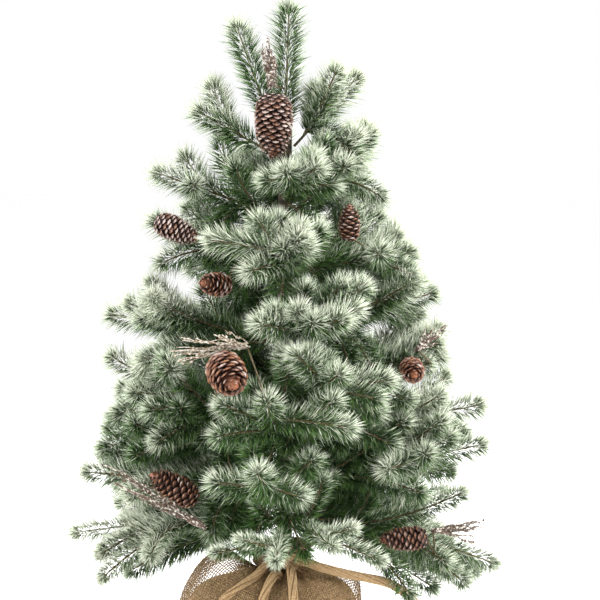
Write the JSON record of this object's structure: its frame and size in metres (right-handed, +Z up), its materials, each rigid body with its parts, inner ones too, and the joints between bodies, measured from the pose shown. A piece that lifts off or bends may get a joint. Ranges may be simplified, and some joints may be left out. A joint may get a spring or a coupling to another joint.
{
  "type": "tabletop tree",
  "caption": "Small artificial fir with frosted, bendable needled branches, pine cones and twigs, standing in a gathered burlap sack tied with jute rope.",
  "frame": {"origin": "middle of the flat underside of the sack, on the trunk's axis", "axes": "+Z up along the trunk, -Y out of the front, where the sack's rope is knotted, +X to the right as seen from the front"},
  "size_m": [0.3927, 0.3001, 0.6061],
  "materials": {
    "cement": "matte",
    "pot": "satin",
    "steel": "satin",
    "tape": "matte",
    "burlap": "matte",
    "jute": "matte",
    "needles": "matte",
    "cone": "matte",
    "twig": "matte"
  },
  "bodies": {
    "base": {"base_pot": "pot", "base_weight": "cement", "burlap_wrap": "burlap", "jute_band": "jute", "jute_loop": "jute", "jute_tail_long": "jute", "jute_tail_short": "jute", "trunk_pole": "steel", "trunk_tape": "tape"},
    "branch_low_left": {"branch_low_left": "needles"},
    "branch_low_right": {"branch_low_right": "needles", "cone_low_right": "cone", "twigs_low_right": "twig"},
    "branch_low_front_left": {"branch_low_front_left": "needles"},
    "branch_low_front_right": {"branch_low_front_right": "needles"},
    "branch_low_back_left": {"branch_low_back_left": "needles"},
    "branch_low_back_right": {"branch_low_back_right": "needles"},
    "branch_lower_left": {"branch_lower_left": "needles", "cone_low_left": "cone", "twigs_low_left": "twig"},
    "branch_lower_right": {"branch_lower_right": "needles"},
    "branch_lower_front": {"branch_lower_front": "needles"},
    "branch_lower_back_left": {"branch_lower_back_left": "needles"},
    "branch_lower_back_right": {"branch_lower_back_right": "needles"},
    "branch_mid_left": {"branch_mid_left": "needles"},
    "branch_mid_right": {"branch_mid_right": "needles"},
    "branch_mid_front": {"branch_mid_front": "needles", "cone_front": "cone", "twigs_front": "twig"},
    "branch_mid_back_left": {"branch_mid_back_left": "needles"},
    "branch_mid_back_right": {"branch_mid_back_right": "needles"},
    "branch_waist_left": {"branch_waist_left": "needles"},
    "branch_waist_right": {"branch_waist_right": "needles", "cone_right": "cone", "twigs_right": "twig"},
    "branch_waist_front": {"branch_waist_front": "needles"},
    "branch_waist_back": {"branch_waist_back": "needles"},
    "branch_upper_left": {"branch_upper_left": "needles"},
    "branch_upper_right": {"branch_upper_right": "needles"},
    "branch_upper_front": {"branch_upper_front": "needles"},
    "branch_upper_back": {"branch_upper_back": "needles"},
    "branch_high_left": {"branch_high_left": "needles", "cone_high_left": "cone", "cone_inner_left": "cone"},
    "branch_high_right": {"branch_high_right": "needles", "cone_inner_right": "cone"},
    "branch_high_front": {"branch_high_front": "needles"},
    "branch_high_back": {"branch_high_back": "needles", "cone_back": "cone"},
    "branch_crown_left": {"branch_crown_left": "needles"},
    "branch_crown_right": {"branch_crown_right": "needles"},
    "branch_crown_front": {"branch_crown_front": "needles"},
    "branch_crown_back": {"branch_crown_back": "needles"},
    "shoot_shoulder": {"shoot_shoulder": "needles"},
    "shoot_left": {"shoot_left": "needles"},
    "shoot_right": {"shoot_right": "needles"},
    "leader": {"leader": "needles", "cone_top": "cone", "twigs_top": "twig"}
  },
  "joints": [
    {"name": "branch_low_left_bend", "type": "hinge", "parent": "base", "child": "branch_low_left", "pos_m": [-0.00697, -0.00049, 0.15], "axis": [-0.0698, 0.9976, 0], "range_deg": [-16, 12]},
    {"name": "branch_low_right_bend", "type": "hinge", "parent": "base", "child": "branch_low_right", "pos_m": [0.00719, -0.00063, 0.153], "axis": [-0.0872, -0.9962, 0], "range_deg": [-14, 16]},
    {"name": "branch_low_front_left_bend", "type": "hinge", "parent": "base", "child": "branch_low_front_left", "pos_m": [-0.00037, -0.007, 0.143], "axis": [-0.9986, 0.0523, 0], "range_deg": [-16, 16]},
    {"name": "branch_low_front_right_bend", "type": "hinge", "parent": "base", "child": "branch_low_front_right", "pos_m": [0.00216, -0.00666, 0.152], "axis": [-0.9511, -0.309, 0], "range_deg": [-16, 16]},
    {"name": "branch_low_back_left_bend", "type": "hinge", "parent": "base", "child": "branch_low_back_left", "pos_m": [-0.00468, 0.0052, 0.147], "axis": [0.7431, 0.6691, 0], "range_deg": [-16, 14]},
    {"name": "branch_low_back_right_bend", "type": "hinge", "parent": "base", "child": "branch_low_back_right", "pos_m": [0.00454, 0.00541, 0.151], "axis": [0.766, -0.6428, 0], "range_deg": [-16, 16]},
    {"name": "branch_lower_left_bend", "type": "hinge", "parent": "base", "child": "branch_lower_left", "pos_m": [-0.00696, -0.0011, 0.176], "axis": [-0.1564, 0.9877, 0], "range_deg": [-12, 10]},
    {"name": "branch_lower_right_bend", "type": "hinge", "parent": "base", "child": "branch_lower_right", "pos_m": [0.00716, 0.00038, 0.181], "axis": [0.0523, -0.9986, 0], "range_deg": [-16, 10]},
    {"name": "branch_lower_front_bend", "type": "hinge", "parent": "base", "child": "branch_lower_front", "pos_m": [-0.00113, -0.00713, 0.178], "axis": [-0.9877, 0.1564, 0], "range_deg": [-16, 16]},
    {"name": "branch_lower_back_left_bend", "type": "hinge", "parent": "base", "child": "branch_lower_back_left", "pos_m": [-0.00567, 0.00427, 0.174], "axis": [0.6018, 0.7986, 0], "range_deg": [-14, 16]},
    {"name": "branch_lower_back_right_bend", "type": "hinge", "parent": "base", "child": "branch_lower_back_right", "pos_m": [0.00331, 0.00622, 0.179], "axis": [0.8829, -0.4695, 0], "range_deg": [-16, 16]},
    {"name": "branch_mid_left_bend", "type": "hinge", "parent": "base", "child": "branch_mid_left", "pos_m": [-0.00701, 0.00061, 0.213], "axis": [0.0872, 0.9962, 0], "range_deg": [-10, 12]},
    {"name": "branch_mid_right_bend", "type": "hinge", "parent": "base", "child": "branch_mid_right", "pos_m": [0.00711, -0.001, 0.218], "axis": [-0.1392, -0.9903, 0], "range_deg": [-12, 8]},
    {"name": "branch_mid_front_bend", "type": "hinge", "parent": "base", "child": "branch_mid_front", "pos_m": [-0.00091, -0.0074, 0.215], "axis": [-0.9925, 0.1219, 0], "range_deg": [-16, 16]},
    {"name": "branch_mid_back_left_bend", "type": "hinge", "parent": "base", "child": "branch_mid_back_left", "pos_m": [-0.00443, 0.00568, 0.211], "axis": [0.788, 0.6157, 0], "range_deg": [-16, 16]},
    {"name": "branch_mid_back_right_bend", "type": "hinge", "parent": "base", "child": "branch_mid_back_right", "pos_m": [0.00245, 0.00673, 0.22], "axis": [0.9397, -0.342, 0], "range_deg": [-16, 8]},
    {"name": "branch_waist_left_bend", "type": "hinge", "parent": "base", "child": "branch_waist_left", "pos_m": [-0.0069, 0.00109, 0.252], "axis": [0.1564, 0.9877, 0], "range_deg": [-14, 14]},
    {"name": "branch_waist_right_bend", "type": "hinge", "parent": "base", "child": "branch_waist_right", "pos_m": [0.00733, 0.00051, 0.258], "axis": [0.0698, -0.9976, 0], "range_deg": [-10, 14]},
    {"name": "branch_waist_front_bend", "type": "hinge", "parent": "base", "child": "branch_waist_front", "pos_m": [0.00296, -0.00665, 0.255], "axis": [-0.9135, -0.4067, 0], "range_deg": [-16, 12]},
    {"name": "branch_waist_back_bend", "type": "hinge", "parent": "base", "child": "branch_waist_back", "pos_m": [-0.00125, 0.00708, 0.261], "axis": [0.9848, 0.1736, 0], "range_deg": [-10, 16]},
    {"name": "branch_upper_left_bend", "type": "hinge", "parent": "base", "child": "branch_upper_left", "pos_m": [-0.00711, 0.00037, 0.304], "axis": [0.0523, 0.9986, 0], "range_deg": [-16, 16]},
    {"name": "branch_upper_right_bend", "type": "hinge", "parent": "base", "child": "branch_upper_right", "pos_m": [0.00729, 0, 0.31], "axis": [0, -1, 0], "range_deg": [-16, 12]},
    {"name": "branch_upper_front_bend", "type": "hinge", "parent": "base", "child": "branch_upper_front", "pos_m": [0.00175, -0.007, 0.306], "axis": [-0.9703, -0.2419, 0], "range_deg": [-14, 16]},
    {"name": "branch_upper_back_bend", "type": "hinge", "parent": "base", "child": "branch_upper_back", "pos_m": [-0.00076, 0.00718, 0.312], "axis": [0.9945, 0.1045, 0], "range_deg": [-16, 12]},
    {"name": "branch_high_left_bend", "type": "hinge", "parent": "base", "child": "branch_high_left", "pos_m": [-0.00745, -0.00052, 0.36], "axis": [-0.0698, 0.9976, 0], "range_deg": [-12, 12]},
    {"name": "branch_high_right_bend", "type": "hinge", "parent": "base", "child": "branch_high_right", "pos_m": [0.00705, -0.00087, 0.366], "axis": [-0.1219, -0.9925, 0], "range_deg": [-10, 10]},
    {"name": "branch_high_front_bend", "type": "hinge", "parent": "base", "child": "branch_high_front", "pos_m": [0, -0.0074, 0.362], "axis": [-1, 0, 0], "range_deg": [-16, 16]},
    {"name": "branch_high_back_bend", "type": "hinge", "parent": "base", "child": "branch_high_back", "pos_m": [0, 0.0073, 0.369], "axis": [1, 0, 0], "range_deg": [-16, 16]},
    {"name": "branch_crown_left_bend", "type": "hinge", "parent": "base", "child": "branch_crown_left", "pos_m": [-0.00735, -0.00013, 0.414], "axis": [-0.0175, 0.9998, 0], "range_deg": [-14, 16]},
    {"name": "branch_crown_right_bend", "type": "hinge", "parent": "base", "child": "branch_crown_right", "pos_m": [0.00774, 0.00054, 0.418], "axis": [0.0698, -0.9976, 0], "range_deg": [-16, 16]},
    {"name": "branch_crown_front_bend", "type": "hinge", "parent": "base", "child": "branch_crown_front", "pos_m": [0.00185, -0.00742, 0.42], "axis": [-0.9703, -0.2419, 0], "range_deg": [-16, 16]},
    {"name": "branch_crown_back_bend", "type": "hinge", "parent": "base", "child": "branch_crown_back", "pos_m": [-0.00104, 0.00738, 0.423], "axis": [0.9903, 0.1392, 0], "range_deg": [-16, 16]},
    {"name": "shoot_shoulder_bend", "type": "hinge", "parent": "base", "child": "shoot_shoulder", "pos_m": [-0.00753, 0.00026, 0.466], "axis": [0.0349, 0.9994, 0], "range_deg": [-16, 16]},
    {"name": "shoot_left_bend", "type": "hinge", "parent": "base", "child": "shoot_left", "pos_m": [-0.00817, 0.00057, 0.48], "axis": [0.0698, 0.9976, 0], "range_deg": [-16, 16]},
    {"name": "shoot_right_bend", "type": "hinge", "parent": "base", "child": "shoot_right", "pos_m": [0.00788, 0, 0.474], "axis": [0, -1, 0], "range_deg": [-16, 16]},
    {"name": "leader_bend", "type": "hinge", "parent": "base", "child": "leader", "pos_m": [0, 0, 0.4903], "axis": [0, 1, 0], "range_deg": [-5, 8]}
  ]
}
